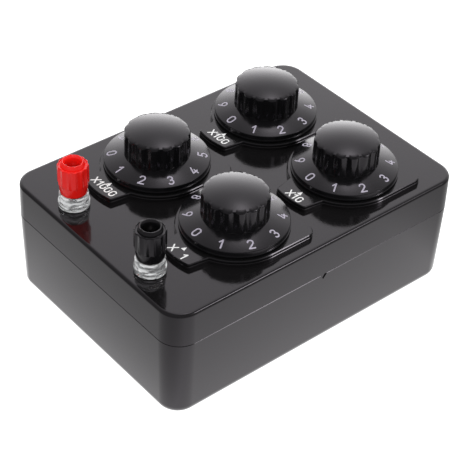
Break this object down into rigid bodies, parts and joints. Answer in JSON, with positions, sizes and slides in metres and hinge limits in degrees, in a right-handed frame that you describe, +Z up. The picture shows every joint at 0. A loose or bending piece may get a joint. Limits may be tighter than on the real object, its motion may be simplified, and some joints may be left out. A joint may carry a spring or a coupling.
{
  "type": "decade resistance box",
  "caption": "Bench resistance box: a rounded black case in two halves with ten-way numbered dials in a square on its deck and a red and a black binding post at the front edge",
  "frame": {"origin": "middle of the base, on the surface the box rests on", "axes": "+Z up; +Y from the binding posts to the back; +X to the right of someone who faces the posts"},
  "size_m": [0.1094, 0.15, 0.0741],
  "materials": {
    "case_plastic": "smooth black moulding with a light sheen",
    "knob_plastic": "polished black moulding",
    "plate_plastic": "black, very fine grain",
    "red_plastic": "glossy red moulding",
    "black_plastic": "glossy black moulding",
    "clear_plastic": "clear, polished",
    "nickel_plate": "bright nickel plate",
    "brass": "plain brass",
    "steel": "zinc-plated steel",
    "board_laminate": "brown paper laminate",
    "resistor_body": "lacquered, banded",
    "red_wire": "insulated wire",
    "yellow_wire": "insulated wire",
    "black_wire": "insulated wire"
  },
  "bodies": {
    "case": {"top_shell": "case_plastic", "bottom_tub": "case_plastic", "case_screw_front_left": "steel", "case_screw_front_right": "steel", "case_screw_back_left": "steel", "case_screw_back_right": "steel", "post_collar_red": "clear_plastic", "post_stud_red": "nickel_plate", "post_nut_red": "nickel_plate", "post_lug_red": "brass", "post_collar_black": "clear_plastic", "post_stud_black": "nickel_plate", "post_nut_black": "nickel_plate", "post_lug_black": "brass", "index_plate_x1000": "plate_plastic", "panel_nut_x1000": "nickel_plate", "switch_frame_x1000": "brass", "index_spring_x1000": "steel", "contact_board_x1000": "board_laminate", "resistor_chain_x1000": "resistor_body", "index_plate_x100": "plate_plastic", "panel_nut_x100": "nickel_plate", "switch_frame_x100": "brass", "index_spring_x100": "steel", "contact_board_x100": "board_laminate", "resistor_chain_x100": "resistor_body", "index_plate_x10": "plate_plastic", "panel_nut_x10": "nickel_plate", "switch_frame_x10": "brass", "index_spring_x10": "steel", "contact_board_x10": "board_laminate", "resistor_chain_x10": "resistor_body", "index_plate_x1": "plate_plastic", "panel_nut_x1": "nickel_plate", "switch_frame_x1": "brass", "index_spring_x1": "steel", "contact_board_x1": "board_laminate", "resistor_chain_x1": "resistor_body", "wire_red_post_to_x1000": "red_wire", "wire_x1000_to_x100": "yellow_wire", "wire_x100_to_x10": "yellow_wire", "wire_x10_to_x1": "yellow_wire", "wire_x1_to_black_post": "black_wire"},
    "dial_x1000": {"dial_knob_x1000": "knob_plastic", "spindle_x1000": "steel", "wiper_x1000": "brass"},
    "dial_x100": {"dial_knob_x100": "knob_plastic", "spindle_x100": "steel", "wiper_x100": "brass"},
    "dial_x10": {"dial_knob_x10": "knob_plastic", "spindle_x10": "steel", "wiper_x10": "brass"},
    "dial_x1": {"dial_knob_x1": "knob_plastic", "spindle_x1": "steel", "wiper_x1": "brass"},
    "post_lift_red": {"post_washer_red": "nickel_plate"},
    "post_turn_red": {"post_cap_red": "red_plastic"},
    "post_lift_black": {"post_washer_black": "nickel_plate"},
    "post_turn_black": {"post_cap_black": "black_plastic"}
  },
  "joints": [
    {"name": "dial_turn_x1000", "type": "hinge", "parent": "case", "child": "dial_x1000", "pos_m": [-0.025, -0.0222, 0.06], "axis": [0, 0, 1], "continuous": true, "deforming": ["index_spring_x1000"]},
    {"name": "dial_turn_x100", "type": "hinge", "parent": "case", "child": "dial_x100", "pos_m": [-0.025, 0.03658, 0.06], "axis": [0, 0, 1], "continuous": true, "deforming": ["index_spring_x100"]},
    {"name": "dial_turn_x10", "type": "hinge", "parent": "case", "child": "dial_x10", "pos_m": [0.025, 0.03658, 0.06], "axis": [0, 0, 1], "continuous": true, "deforming": ["index_spring_x10"]},
    {"name": "dial_turn_x1", "type": "hinge", "parent": "case", "child": "dial_x1", "pos_m": [0.025, -0.0222, 0.06], "axis": [0, 0, 1], "continuous": true, "deforming": ["index_spring_x1"]},
    {"name": "post_lift_red", "type": "slide", "parent": "case", "child": "post_lift_red", "axis": [0, 0, 1], "range_m": [0, 0.0045]},
    {"name": "post_turn_red", "type": "hinge", "parent": "post_lift_red", "child": "post_turn_red", "pos_m": [-0.025, -0.06365, 0.0665], "axis": [0, 0, 1], "range_deg": [0, 1620]},
    {"name": "post_lift_black", "type": "slide", "parent": "case", "child": "post_lift_black", "axis": [0, 0, 1], "range_m": [0, 0.0045]},
    {"name": "post_turn_black", "type": "hinge", "parent": "post_lift_black", "child": "post_turn_black", "pos_m": [0.025, -0.06365, 0.0665], "axis": [0, 0, 1], "range_deg": [0, 1620]}
  ],
  "couplings": [
    {"joint": "post_turn_red", "follows": "post_lift_red", "rad_per_m": 6283.2},
    {"joint": "post_turn_black", "follows": "post_lift_black", "rad_per_m": 6283.2}
  ]
}
